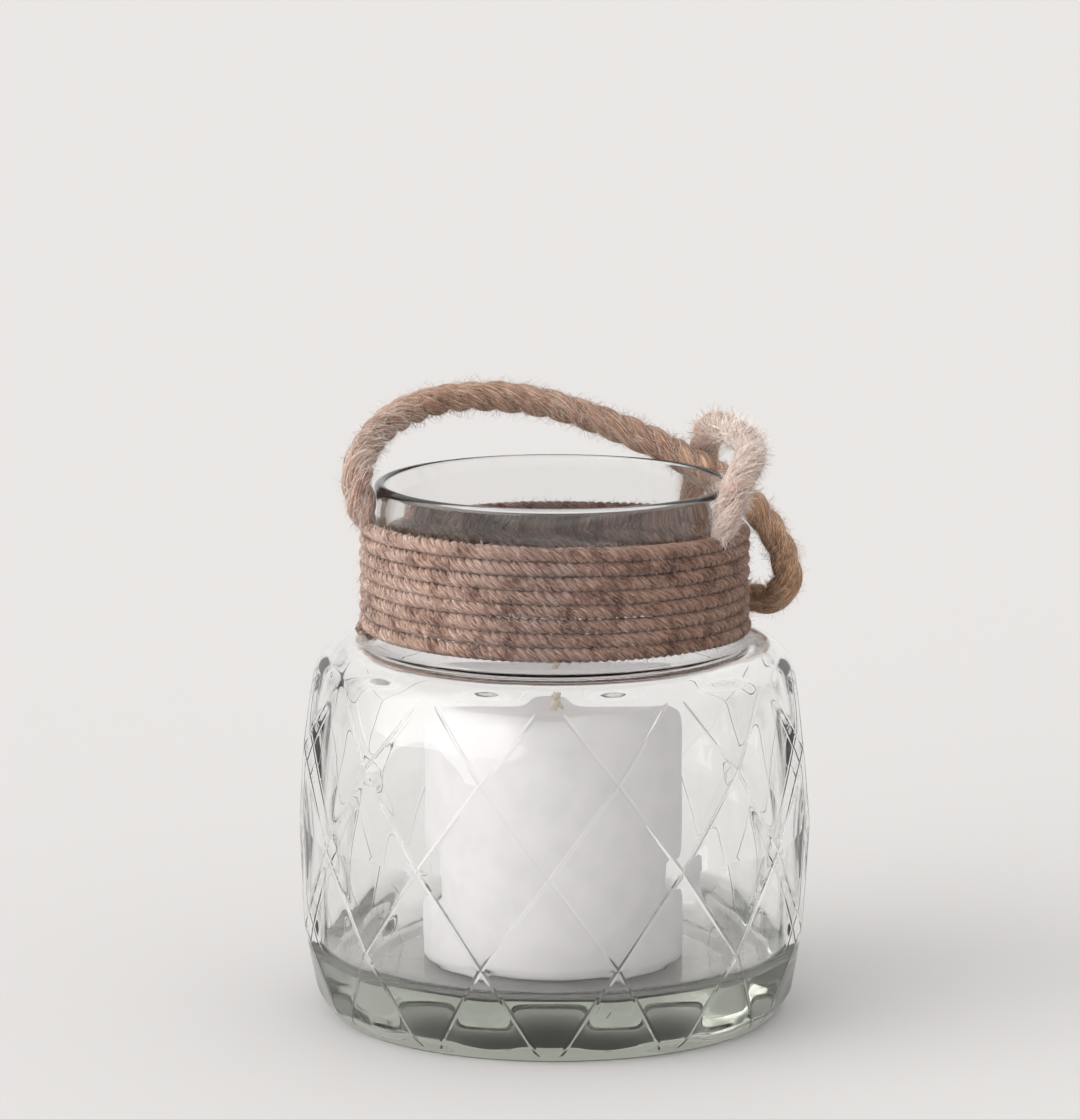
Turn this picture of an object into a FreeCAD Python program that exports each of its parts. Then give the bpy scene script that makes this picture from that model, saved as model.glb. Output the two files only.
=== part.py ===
import FreeCAD, Part
import math
import os

# Candle lantern made from a faceted wide-mouth glass jar.
# Millimetres, +Z up, front towards -Y, origin under the middle of the jar's foot.

V = FreeCAD.Vector

# Faceted body of the jar: rows of diamonds on a polygon of COLUMNS sides, drawn in from the
# widest rows at the shoulder and at the lowest row, which the chamfered foot cuts off
COLUMNS = 12
LATTICE_TURN = -1.1
BODY_R = 76.0
BASE_NODE_INSET = 6.55
SHOULDER_NODE_INSET = 5.4
BASE_NODE_DROP = 3.0
LOW_BAND_H = 31.5
MIDDLE_BAND_H = 27.0
UPPER_BAND_H = 27.0
TOP_BAND_H = 25.0

# Chamfered foot, round shoulder, neck and lip of the jar
FOOT_INSET = 10.0
FOOT_DRAFT = 48.7
SHOULDER_ROUND = 13.5
SHOULDER_INSET = 17.8
SHOULDER_DROP = 9.1
SHOULDER_DRAFT = 14.5
NECK_R = 53.0
NECK_FILLET = 4.0
NECK_L = 42.2
LIP_OUTER_ROUND = 2.2
LIP_INNER_ROUND = 1.2

# Inside of the jar and the hollow under its foot
NECK_WALL = 3.8
SIDE_WALL = 3.4
FLOOR_T = 18.0
FLOOR_ROUND = 14.0
PUNT_H = 3.0
FOOT_RING_W = 8.7

# Twine wound on the neck
TWINE_D = 3.6
TWINE_TURNS = 8
TWINE_TURN_GAP = 0.45
TWINE_NECK_GAP = 0.25
TWINE_RISE = -0.6
TWINE_START = -90.0

# Rope of the handle and of the eye beside it
ROPE_D = 9.2

# Pillar candle and its wick
CANDLE_D = 76.0
CANDLE_H = 76.0
CANDLE_TOP_ROUND = 6.5
CANDLE_FOOT_CHAMFER = 1.0
WICK_D = 2.6
WICK_OUT = 7.0
WICK_IN = 60.0
WICK_TIP = 1.2
WICK_GAP = 0.1

# Route of the handle rope: root on the twine at the left, over the back of the rim,
# through the eye, and a curl that ends against the twine at the back right
HANDLE_ROUTE = [
    (-57.3, -11.0, 149.8),
    (-57.8, -10.4, 156.6),
    (-58.6, -6.6, 162.0),
    (-58.0, 1.8, 165.6),
    (-56.0, 11.0, 168.6),
    (-52.4, 20.4, 171.6),
    (-46.0, 30.0, 174.4),
    (-35.0, 40.5, 176.6),
    (-20.0, 49.5, 176.4),
    (-4.5, 53.5, 174.0),
    (8.0, 54.0, 170.2),
    (20.0, 52.5, 165.8),
    (31.0, 49.0, 161.6),
    (40.2, 43.6, 157.6),
    (48.5, 36.8, 154.0),
    (55.3, 30.0, 149.8),
    (61.2, 24.4, 144.6),
    (66.0, 20.6, 138.0),
    (69.2, 18.9, 130.8),
    (69.6, 20.4, 123.6),
    (66.2, 25.0, 118.4),
    (60.4, 30.6, 117.0),
    (54.2, 35.2, 118.8),
    (48.2, 38.8, 121.2),
]

# Route of the eye rope: root on the twine at the front right, over the handle,
# and down the outside of the twine at the back right
EYE_ROUTE = [
    (50.3, -29.1, 148.3),
    (50.9, -28.4, 155.1),
    (52.8, -25.2, 159.5),
    (56.0, -17.2, 162.4),
    (59.0, -6.2, 164.8),
    (59.6, 6.0, 167.0),
    (57.0, 18.0, 168.6),
    (52.4, 29.4, 169.0),
    (48.2, 40.6, 168.4),
    (46.2, 50.4, 165.0),
    (45.4, 56.0, 157.6),
    (44.8, 54.6, 149.0),
    (43.4, 48.8, 141.4),
    (42.6, 45.6, 134.0),
]

# Heights and radii that follow from the sizes above
row_z = [-BASE_NODE_DROP]
for band in (LOW_BAND_H, MIDDLE_BAND_H, UPPER_BAND_H, TOP_BAND_H):
    row_z.append(row_z[-1] + band)
base_node_r = BODY_R - BASE_NODE_INSET
shoulder_node_r = BODY_R - SHOULDER_NODE_INSET
foot_r = BODY_R - FOOT_INSET
shoulder_r = BODY_R - SHOULDER_INSET
shoulder_z = row_z[-1] - SHOULDER_DROP
fillet_r = NECK_R + NECK_FILLET
fillet_reach = SHOULDER_ROUND + NECK_FILLET
neck_root_z = shoulder_z + math.sqrt(fillet_reach ** 2 - (fillet_r - shoulder_r) ** 2)
rim_z = neck_root_z + NECK_L
half_column = math.pi / COLUMNS
inner_r = BODY_R * math.cos(half_column) - SIDE_WALL
bore_r = NECK_R - NECK_WALL
candle_top_z = FLOOR_T + CANDLE_H


def ring(radius, height, shifted):
    """Corners of one row of the lattice, turned half a column when shifted."""
    corners = []
    for k in range(COLUMNS):
        a = math.radians(LATTICE_TURN) - math.pi / 2 + 2 * half_column * (k + (0.5 if shifted else 0.0))
        corners.append(V(radius * math.cos(a), radius * math.sin(a), height))
    return corners


def flat_face(corners):
    """Flat face on a closed run of corners."""
    return Part.Face(Part.makePolygon(corners + [corners[0]]))


def band_faces(low, high, low_shifted, high_shifted):
    """Faces between two rows: triangles where the rows alternate, flat panels where they line up."""
    faces = []
    for k in range(COLUMNS):
        n = (k + 1) % COLUMNS
        if low_shifted == high_shifted:
            faces.append(flat_face([low[k], low[n], high[n], high[k]]))
        elif high_shifted:
            faces.append(flat_face([low[k], low[n], high[k]]))
            faces.append(flat_face([low[n], high[n], high[k]]))
        else:
            faces.append(flat_face([low[k], low[n], high[n]]))
            faces.append(flat_face([low[k], high[n], high[k]]))
    return faces


def faceted_body():
    """Stack of rows of the diamond lattice, closed below the foot and well above the shoulder."""
    rows = [
        (base_node_r, row_z[0], False),
        (BODY_R, row_z[1], True),
        (BODY_R, row_z[2], False),
        (BODY_R, row_z[3], True),
        (shoulder_node_r, row_z[4], False),
        (shoulder_node_r, rim_z + SHOULDER_ROUND, False),
    ]
    rings = [ring(*row) for row in rows]
    faces = [flat_face(rings[0][::-1]), flat_face(rings[-1])]
    for i in range(len(rows) - 1):
        faces.extend(band_faces(rings[i], rings[i + 1], rows[i][2], rows[i + 1][2]))
    solid = Part.Solid(Part.Shell(faces))
    if solid.Volume < 0:
        solid.reverse()
    return solid


def revolved(edges):
    """Solid of revolution about Z of a closed profile in the XZ plane."""
    face = Part.Face(Part.Wire(edges))
    return face.revolve(V(0, 0, 0), V(0, 0, 1), 360)


def line(a, b):
    """Straight edge between two (radius, height) points."""
    return Part.LineSegment(V(a[0], 0, a[1]), V(b[0], 0, b[1])).toShape()


def arc(centre, radius, start, end):
    """Arc edge about a (radius, height) centre, between two angles in radians."""
    points = []
    for a in (start, (start + end) / 2, end):
        points.append(V(centre[0] + radius * math.cos(a), 0, centre[1] + radius * math.sin(a)))
    return Part.Arc(*points).toShape()


def at(centre, radius, angle):
    """Point on an arc, as (radius, height)."""
    return (centre[0] + radius * math.cos(angle), centre[1] + radius * math.sin(angle))


shoulder_c = (shoulder_r, shoulder_z)
fillet_c = (fillet_r, neck_root_z)
meet = math.atan2(neck_root_z - shoulder_z, fillet_r - shoulder_r)


def outer_turning():
    """Turned outside: chamfered foot, drafted skirt clear of the lattice, round shoulder, neck and rounded lip."""
    wide_r = BODY_R + NECK_FILLET
    draft = math.radians(SHOULDER_DRAFT)
    begin = at(shoulder_c, SHOULDER_ROUND, draft)
    low = (wide_r, begin[1] - (wide_r - begin[0]) / math.tan(draft))
    foot_z = (wide_r - foot_r) * math.tan(math.radians(FOOT_DRAFT))
    lip_c = (NECK_R - LIP_OUTER_ROUND, rim_z - LIP_OUTER_ROUND)
    edges = [
        line((0, 0), (foot_r, 0)),
        line((foot_r, 0), (wide_r, foot_z)),
        line((wide_r, foot_z), low),
        line(low, begin),
        arc(shoulder_c, SHOULDER_ROUND, draft, meet),
        arc(fillet_c, NECK_FILLET, meet - math.pi, -math.pi),
        line((NECK_R, neck_root_z), (NECK_R, lip_c[1])),
        arc(lip_c, LIP_OUTER_ROUND, 0, math.pi / 2),
        line((lip_c[0], rim_z), (0, rim_z)),
        line((0, rim_z), (0, 0)),
    ]
    return revolved(edges)


def cavity():
    """Inside of the jar: flat floor, rounded corner, straight side, shoulder, neck and flared lip."""
    inner_shoulder = SHOULDER_ROUND - NECK_WALL
    inner_fillet = NECK_FILLET + NECK_WALL
    corner_c = (inner_r - FLOOR_ROUND, FLOOR_T + FLOOR_ROUND)
    lip_c = (bore_r + LIP_INNER_ROUND, rim_z - LIP_INNER_ROUND)
    side_top = (inner_r, row_z[3])
    above = rim_z + NECK_WALL
    edges = [
        line((0, FLOOR_T), (corner_c[0], FLOOR_T)),
        arc(corner_c, FLOOR_ROUND, -math.pi / 2, 0),
        line((inner_r, corner_c[1]), side_top),
        line(side_top, at(shoulder_c, inner_shoulder, 0)),
        arc(shoulder_c, inner_shoulder, 0, meet),
        arc(fillet_c, inner_fillet, meet - math.pi, -math.pi),
        line((bore_r, neck_root_z), (bore_r, lip_c[1])),
        arc(lip_c, LIP_INNER_ROUND, math.pi, math.pi / 2),
        line((lip_c[0], rim_z), (lip_c[0], above)),
        line((lip_c[0], above), (0, above)),
        line((0, above), (0, FLOOR_T)),
    ]
    return revolved(edges)


def punt():
    """Shallow dome pressed up under the jar, inside its foot ring."""
    edge_r = foot_r - FOOT_RING_W
    mid = (edge_r / 2, PUNT_H * 0.75)
    edges = [
        Part.Arc(V(edge_r, 0, 0), V(mid[0], 0, mid[1]), V(0, 0, PUNT_H)).toShape(),
        line((0, PUNT_H), (0, -PUNT_H)),
        line((0, -PUNT_H), (edge_r, -PUNT_H)),
        line((edge_r, -PUNT_H), (edge_r, 0)),
    ]
    return revolved(edges)


def glass_jar():
    """Faceted jar with its round shoulder, open neck, cavity and hollowed foot."""
    body = faceted_body().common(outer_turning())
    return body.cut(cavity()).cut(punt())


def swept_tube(path, radius, start, direction):
    """Round tube along a wire of lines and tangent arcs."""
    section = Part.Wire([Part.Circle(start, direction, radius).toShape()])
    sweep = Part.BRepOffsetAPI.MakePipeShell(path)
    sweep.add(section)
    sweep.build()
    sweep.makeSolid()
    tube = sweep.shape()
    if tube.Volume < 0:
        tube.reverse()
    return tube


def cord(name, route, diameter):
    """Rope along straight runs joined by arcs, each as large as its two runs allow."""
    points = [V(*p) for p in route]
    edges = []
    radii = []
    last = points[0]
    for before, here, after in zip(points, points[1:], points[2:]):
        into = here - before
        out = after - here
        turn = into.getAngle(out)
        reach = 0.45 * min(into.Length, out.Length)
        radius = reach / math.tan(turn / 2)
        radii.append(radius)
        first = here - into.normalize() * reach
        second = here + out.normalize() * reach
        towards = (first + second) * 0.5 - here
        depth = radius / math.cos(turn / 2) - radius
        middle = here + towards.normalize() * depth
        edges.append(Part.LineSegment(last, first).toShape())
        edges.append(Part.Arc(first, middle, second).toShape())
        last = second
    edges.append(Part.LineSegment(last, points[-1]).toShape())
    path = Part.Wire(edges)
    tube = swept_tube(path, diameter / 2, points[0], points[1] - points[0])
    share = tube.Volume / (math.pi * diameter ** 2 / 4 * path.Length)
    print(name, "length", round(path.Length, 1), "least radius", round(min(radii), 1), "volume share", round(share, 4))
    print(name, "radii", [round(r, 1) for r in radii])
    return tube


def biarc(p0, t0, p1, t1):
    """Two tangent arcs from p0 to p1 with the given unit tangents."""
    v = p1 - p0
    t = t0 + t1
    a = 2 * (1 - t0.dot(t1))
    b = 2 * v.dot(t)
    d = (-b + math.sqrt(b * b + 4 * a * v.dot(v))) / (2 * a)
    q0 = p0 + t0 * d
    q1 = p1 - t1 * d
    joint = (q0 + q1) * 0.5
    edges = []
    for s, q, e in ((p0, q0, joint), (joint, q1, p1)):
        chord_mid = (s + e) * 0.5
        half = (q - s).getAngle(e - s)
        radius = d / math.tan(half)
        bulge = (q - chord_mid).normalize() * (radius * (1 - math.cos(half)))
        edges.append(Part.Arc(s, chord_mid + bulge, e).toShape())
    return edges


def neck_twine():
    """Twine wound round the neck in one unbroken run, its ends lying straight at the left."""
    pitch = TWINE_D + TWINE_TURN_GAP
    radius = NECK_R + TWINE_NECK_GAP + TWINE_D / 2
    low_z = neck_root_z + TWINE_RISE
    high_z = low_z + TWINE_TURNS * pitch
    slope = pitch / (2 * math.pi)
    speed = math.hypot(radius, slope)
    first = math.radians(TWINE_START)

    def place(angle):
        return V(radius * math.sin(angle), -radius * math.cos(angle), high_z - slope * (angle - first))

    def heading(angle):
        return V(radius * math.cos(angle), radius * math.sin(angle), -slope) * (1 / speed)

    quarters = 4 * TWINE_TURNS
    angles = [first + i * math.pi / 2 for i in range(quarters + 1)]
    start = place(angles[0]) - heading(angles[0]) * TWINE_D
    end = place(angles[-1]) + heading(angles[-1]) * TWINE_D
    edges = [Part.LineSegment(start, place(angles[0])).toShape()]
    for a, b in zip(angles, angles[1:]):
        edges.extend(biarc(place(a), heading(a), place(b), heading(b)))
    edges.append(Part.LineSegment(place(angles[-1]), end).toShape())
    path = Part.Wire(edges)
    tube = swept_tube(path, TWINE_D / 2, start, heading(angles[0]))
    share = tube.Volume / (math.pi * TWINE_D ** 2 / 4 * path.Length)
    per_turn = 360
    points = path.discretize(Number=per_turn * TWINE_TURNS)
    near = range(per_turn - 12, per_turn + 13)
    least = min(points[i].distanceToPoint(points[i + n]) for i in range(len(points)) for n in near
                if i + n < len(points))
    print("twine length", round(path.Length, 1), "volume share", round(share, 4),
          "least gap to itself", round(least - TWINE_D, 2))
    return tube


def candle():
    """Pillar candle with a rounded top edge, a chamfered foot and the bore of its wick."""
    r = CANDLE_D / 2
    bore = WICK_D / 2 + WICK_GAP
    low = candle_top_z - WICK_IN
    top_c = (r - CANDLE_TOP_ROUND, candle_top_z - CANDLE_TOP_ROUND)
    edges = [
        line((0, FLOOR_T), (r - CANDLE_FOOT_CHAMFER, FLOOR_T)),
        line((r - CANDLE_FOOT_CHAMFER, FLOOR_T), (r, FLOOR_T + CANDLE_FOOT_CHAMFER)),
        line((r, FLOOR_T + CANDLE_FOOT_CHAMFER), (r, top_c[1])),
        arc(top_c, CANDLE_TOP_ROUND, 0, math.pi / 2),
        line((top_c[0], candle_top_z), (bore, candle_top_z)),
        line((bore, candle_top_z), (bore, low)),
        line((bore, low), (0, low)),
        line((0, low), (0, FLOOR_T)),
    ]
    return revolved(edges)


def wick():
    """Cotton wick standing on the bottom of its bore, with a rounded tip."""
    r = WICK_D / 2
    low = candle_top_z - WICK_IN
    tip = candle_top_z + WICK_OUT
    tip_r = r - WICK_TIP / 2
    edges = [
        line((0, low), (r, low)),
        line((r, low), (r, tip - WICK_TIP)),
        line((r, tip - WICK_TIP), (tip_r, tip)),
        line((tip_r, tip), (0, tip)),
        line((0, tip), (0, low)),
    ]
    return revolved(edges)


os.makedirs("parts", exist_ok=True)
pieces = {
    "glass_jar": glass_jar(),
    "neck_twine": neck_twine(),
    "handle_rope": cord("handle_rope", HANDLE_ROUTE, ROPE_D),
    "side_eye_rope": cord("side_eye_rope", EYE_ROUTE, ROPE_D),
    "candle": candle(),
    "wick": wick(),
}
for name, shape in pieces.items():
    print(name, "solids", len(shape.Solids), "valid", shape.isValid(), "volume", round(shape.Volume, 1))
    shape.exportStep("parts/" + name + ".step")
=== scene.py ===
"""Candle jar lantern: a faceted glass jar with a twine-bound neck, a jute rope handle and a pillar candle."""
import logging
import math
from dataclasses import dataclass
from enum import Enum
from typing import Any, Callable, Sequence

import bpy
import numpy as np
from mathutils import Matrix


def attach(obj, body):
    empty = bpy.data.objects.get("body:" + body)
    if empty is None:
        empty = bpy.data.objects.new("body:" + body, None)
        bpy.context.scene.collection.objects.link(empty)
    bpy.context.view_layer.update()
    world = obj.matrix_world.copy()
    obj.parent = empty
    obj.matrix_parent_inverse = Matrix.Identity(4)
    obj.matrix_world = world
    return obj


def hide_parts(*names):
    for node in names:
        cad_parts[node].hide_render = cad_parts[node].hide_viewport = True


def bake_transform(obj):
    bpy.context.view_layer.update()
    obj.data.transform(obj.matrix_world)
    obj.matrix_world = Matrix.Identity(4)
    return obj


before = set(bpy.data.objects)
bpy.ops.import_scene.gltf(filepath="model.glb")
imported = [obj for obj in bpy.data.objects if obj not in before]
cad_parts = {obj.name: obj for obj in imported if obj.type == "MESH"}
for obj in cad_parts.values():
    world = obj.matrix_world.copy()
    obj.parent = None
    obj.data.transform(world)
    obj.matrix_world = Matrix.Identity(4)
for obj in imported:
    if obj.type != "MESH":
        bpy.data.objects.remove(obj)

LOG = logging.getLogger("jar_lantern")
MM = 0.001
WELD_MM = 0.002


class TintRun(Enum):
    """Ways in which a jute piece's colour changes: along the strand, partly its own tone and partly painted
    light and shade, or across the object, painted light and shade alone.
    """

    ALONG = "along the strand"
    # Across the object the ramp paints light and shade: paler on the left, where the light falls, darker on
    # the right
    PAINTED_LIGHT_ACROSS = "across the object"


def linear(hex_colour: str) -> tuple[float, float, float, float]:
    """Turn an sRGB hex colour into a linear one.

    Args:
        hex_colour: Six hex digits, with or without a leading hash sign.

    Returns:
        Linear red, green, blue and an alpha of one.
    """
    digits = hex_colour.lstrip("#")
    parts = [int(digits[i:i + 2], 16) / 255 for i in (0, 2, 4)]
    out = [c / 12.92 if c <= 0.04045 else ((c + 0.055) / 1.055) ** 2.4 for c in parts]
    return (out[0], out[1], out[2], 1.0)


def add_node(tree: bpy.types.NodeTree, kind: str, inputs: dict[Any, Any] | None = None,
             **settings: Any) -> Any:
    """Add a node with its settings, socket values and links.

    Args:
        tree: Node tree that takes the node.
        kind: Blender's name for the node type.
        inputs: Socket name or number to a value, or to another node's output.
        settings: Properties of the node itself.

    Returns:
        The new node.
    """
    made = tree.nodes.new(kind)
    for key, value in settings.items():
        setattr(made, key, value)
    for socket, value in (inputs or {}).items():
        if isinstance(value, bpy.types.NodeSocket):
            tree.links.new(value, made.inputs[socket])
        else:
            made.inputs[socket].default_value = value
    return made


def set_ramp(ramp_node: Any, stops: Sequence[tuple[float, str]]) -> None:
    """Give a colour ramp its stops.

    Args:
        ramp_node: Colour ramp node.
        stops: Places from zero to one, each with an sRGB hex colour.
    """
    elements = ramp_node.color_ramp.elements
    while len(elements) < len(stops):
        elements.new(1.0)
    for element, (place, colour) in zip(elements, stops):
        element.position = place
        element.color = linear(colour)


def new_material(name: str) -> tuple[bpy.types.Material, bpy.types.NodeTree, Any]:
    """Make an empty node material.

    Args:
        name: Name of the material.

    Returns:
        The material, its node tree and its output node.
    """
    material = bpy.data.materials.new(name)
    material.use_nodes = True
    tree = material.node_tree
    tree.nodes.clear()
    return material, tree, add_node(tree, "ShaderNodeOutputMaterial")


@dataclass(frozen=True)
class Lattice:
    """The mould's lattice in millimetres: rows of nodes, each turned half a pitch from the row below."""

    columns: int = 12
    turn_deg: float = -1.1
    row_z: tuple[float, ...] = (-3.0, 28.5, 55.5, 82.5, 107.5)
    row_r: tuple[float, ...] = (69.45, 76.0, 76.0, 76.0, 70.6)


# Gives the eye clear panels that bend what lies behind them, fine bright lines along the ridges,
# a grey-green tint where the glass is thick and a dull underside
@dataclass(frozen=True)
class GlassFinish:
    """Soda-lime glass, pressed in a faceted mould and fire polished, with a stippled underside."""

    name: str = "soda_lime_glass"
    tint: str = "#FFFFFF"
    ior: float = 1.47
    roughness: float = 0.012
    absorb_colour: str = "#A1A996"
    absorb_per_m: float = 11.0
    wave_mm: float = 17.0
    wave_h_mm: float = 1.0
    wave_strength: float = 0.1
    bead_half_mm: float = 0.85
    bead_h_mm: float = 0.21
    bead_skin_mm: tuple[float, float] = (3.4, 2.2)
    bead_foot_mm: tuple[float, float] = (1.0, 5.0)
    bead_shoulder_mm: tuple[float, float] = (2.0, 9.0)
    stipple_r_mm: float = 57.0
    stipple_z_mm: float = 3.3
    stipple_roughness: float = 0.5

    def height_and_reach(self, tree: bpy.types.NodeTree, place: Any) -> tuple[Any, Any]:
        """Add the height of a place and its distance from the jar's axis.

        Args:
            tree: Node tree of the material.
            place: Socket with the place on the object, in metres.

        Returns:
            The sockets of the height and of the distance, in metres.
        """
        split = add_node(tree, "ShaderNodeSeparateXYZ", {"Vector": place})
        flat = add_node(tree, "ShaderNodeVectorMath", {0: place, 1: (1.0, 1.0, 0.0)}, operation="MULTIPLY")
        reach = add_node(tree, "ShaderNodeVectorMath", {0: flat.outputs["Vector"]}, operation="LENGTH")
        return split.outputs["Z"], reach.outputs["Value"]

    def columns_round(self, tree: bpy.types.NodeTree, place: Any, mould: Lattice) -> Any:
        """Add the count of the lattice's columns round the jar, from the front.

        Args:
            tree: Node tree of the material.
            place: Socket with the place on the object, in metres.
            mould: Lattice that the jar is pressed to.

        Returns:
            The socket of the count.
        """
        split = add_node(tree, "ShaderNodeSeparateXYZ", {"Vector": place})
        front = add_node(tree, "ShaderNodeMath", {0: split.outputs["Y"], 1: -1.0}, operation="MULTIPLY")
        azimuth = add_node(tree, "ShaderNodeMath", {
            0: split.outputs["X"], 1: front.outputs[0]}, operation="ARCTAN2")
        shift = math.radians(mould.turn_deg)
        count = add_node(tree, "ShaderNodeMapRange", {
            "Value": azimuth.outputs[0], "From Min": shift,
            "From Max": shift + 2 * math.pi / mould.columns}, clamp=False)
        return count.outputs["Result"]

    def rows_up(self, tree: bpy.types.NodeTree, height: Any, mould: Lattice) -> tuple[Any, Any]:
        """Add the count of the lattice's rows up the jar and the radius of its nodes at a height.

        Args:
            tree: Node tree of the material.
            height: Socket of the height, in metres.
            mould: Lattice that the jar is pressed to.

        Returns:
            The sockets of the count, half for each row, and of the radius in metres.
        """
        row: Any = 0.0
        node_r: Any = mould.row_r[0] * MM
        for k in range(len(mould.row_z) - 1):
            climb = add_node(tree, "ShaderNodeMapRange", {
                "Value": height, "From Min": mould.row_z[k] * MM,
                "From Max": mould.row_z[k + 1] * MM, "To Max": 0.5})
            step = climb.outputs["Result"]
            row = add_node(tree, "ShaderNodeMath", {0: row, 1: step}, operation="ADD").outputs[0]
            swell = 2 * (mould.row_r[k + 1] - mould.row_r[k]) * MM
            node_r = add_node(tree, "ShaderNodeMath", {
                0: step, 1: swell, 2: node_r}, operation="MULTIPLY_ADD").outputs[0]
        return row, node_r

    def bead(self, tree: bpy.types.NodeTree, place: Any, mould: Lattice) -> Any:
        """Add the fine rounded bead that the mould's seams leave along each ridge of the lattice.

        Args:
            tree: Node tree of the material.
            place: Socket with the place on the object, in metres.
            mould: Lattice that the jar is pressed to.

        Returns:
            The socket of the bead's height, from zero to one, on the outer face of the wall alone.
        """
        height, reach = self.height_and_reach(tree, place)
        column = self.columns_round(tree, place, mould)
        row, node_r = self.rows_up(tree, height, mould)
        band = mould.row_z[2] - mould.row_z[1]
        per_mm = math.hypot(mould.columns / (2 * math.pi * mould.row_r[2]), 0.5 / band)
        ridge: Any = 0.0
        for way in ("ADD", "SUBTRACT"):
            line = add_node(tree, "ShaderNodeMath", {0: column, 1: row}, operation=way)
            near = add_node(tree, "ShaderNodeMath", {0: line.outputs[0], 1: 0.5}, operation="PINGPONG")
            rise = add_node(tree, "ShaderNodeMapRange", {
                "Value": near.outputs[0], "From Min": self.bead_half_mm * per_mm, "From Max": 0.0},
                interpolation_type="SMOOTHSTEP")
            ridge = add_node(tree, "ShaderNodeMath", {
                0: ridge, 1: rise.outputs["Result"]}, operation="MAXIMUM").outputs[0]
        shoulder = [mould.row_z[-1] - drop for drop in self.bead_shoulder_mm]
        for low, high in (self.bead_foot_mm, shoulder):
            fade = add_node(tree, "ShaderNodeMapRange", {
                "Value": height, "From Min": low * MM, "From Max": high * MM},
                interpolation_type="SMOOTHSTEP")
            ridge = add_node(tree, "ShaderNodeMath", {
                0: ridge, 1: fade.outputs["Result"]}, operation="MULTIPLY").outputs[0]
        depth = add_node(tree, "ShaderNodeMath", {0: node_r, 1: reach}, operation="SUBTRACT")
        skin = add_node(tree, "ShaderNodeMapRange", {
            "Value": depth.outputs[0], "From Min": self.bead_skin_mm[0] * MM,
            "From Max": self.bead_skin_mm[1] * MM})
        return add_node(tree, "ShaderNodeMath", {
            0: ridge, 1: skin.outputs["Result"]}, operation="MULTIPLY").outputs[0]

    def stipple(self, tree: bpy.types.NodeTree, place: Any) -> Any:
        """Add the stippled hollow under the foot, which is rougher than the fire-polished wall.

        Args:
            tree: Node tree of the material.
            place: Socket with the place on the object, in metres.

        Returns:
            The socket of the roughness.
        """
        height, reach = self.height_and_reach(tree, place)
        low = add_node(tree, "ShaderNodeMath", {0: height, 1: self.stipple_z_mm * MM}, operation="LESS_THAN")
        near = add_node(tree, "ShaderNodeMath", {0: reach, 1: self.stipple_r_mm * MM}, operation="LESS_THAN")
        under = add_node(tree, "ShaderNodeMath", {
            0: low.outputs[0], 1: near.outputs[0]}, operation="MULTIPLY")
        dull = add_node(tree, "ShaderNodeMapRange", {
            "Value": under.outputs[0], "To Min": self.roughness, "To Max": self.stipple_roughness})
        return dull.outputs["Result"]

    def build(self, mould: Lattice) -> bpy.types.Material:
        """Build the glass with its tint as real absorption, its slight waves, beads and stippled underside.

        Args:
            mould: Lattice that the jar is pressed to.

        Returns:
            The material.
        """
        material, tree, out = new_material(self.name)
        place = add_node(tree, "ShaderNodeTexCoord").outputs["Object"]
        wave = add_node(tree, "ShaderNodeTexNoise", {
            "Vector": place, "Scale": 1 / (self.wave_mm * MM), "Detail": 1.0})
        waved = add_node(tree, "ShaderNodeBump", {
            "Height": wave.outputs["Fac"], "Strength": self.wave_strength, "Distance": self.wave_h_mm * MM})
        beaded = add_node(tree, "ShaderNodeBump", {
            "Height": self.bead(tree, place, mould), "Strength": 1.0, "Distance": self.bead_h_mm * MM,
            "Normal": waved.outputs["Normal"]})
        glass = add_node(tree, "ShaderNodeBsdfPrincipled", {
            "Base Color": linear(self.tint), "Roughness": self.stipple(tree, place), "IOR": self.ior,
            "Transmission Weight": 1.0, "Normal": beaded.outputs["Normal"]})
        absorb = add_node(tree, "ShaderNodeVolumeAbsorption", {
            "Color": linear(self.absorb_colour), "Density": self.absorb_per_m})
        tree.links.new(glass.outputs["BSDF"], out.inputs["Surface"])
        tree.links.new(absorb.outputs["Volume"], out.inputs["Volume"])
        return material


@dataclass(frozen=True)
class ToneAndLightRamp:
    """Slow change of colour over a jute piece, as stops of millimetres and a multiplying colour: partly its
    own tone and partly painted light and shade.
    """

    run: TintRun
    stops: tuple[tuple[float, str], ...]

    def build(self, tree: bpy.types.NodeTree, along: Any) -> Any:
        """Add the ramp to a material.

        Args:
            tree: Node tree of the material.
            along: Socket with the distance along the strand, in millimetres.

        Returns:
            The socket of the multiplying colour.
        """
        low, high = self.stops[0][0], self.stops[-1][0]
        place = along
        scale = 1.0
        # Across the object the stops paint light and shade by the object's X: paler on the lit left, darker
        # on the shaded right
        if self.run is TintRun.PAINTED_LIGHT_ACROSS:
            coords = add_node(tree, "ShaderNodeTexCoord")
            place = add_node(tree, "ShaderNodeSeparateXYZ", {"Vector": coords.outputs["Object"]}).outputs["X"]
            scale = MM
        share = add_node(tree, "ShaderNodeMapRange", {
            "Value": place, "From Min": low * scale, "From Max": high * scale})
        ramp = add_node(tree, "ShaderNodeValToRGB", {"Fac": share.outputs["Result"]})
        set_ramp(ramp, [((mm - low) / (high - low), colour) for mm, colour in self.stops])
        return ramp.outputs["Color"]


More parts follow.
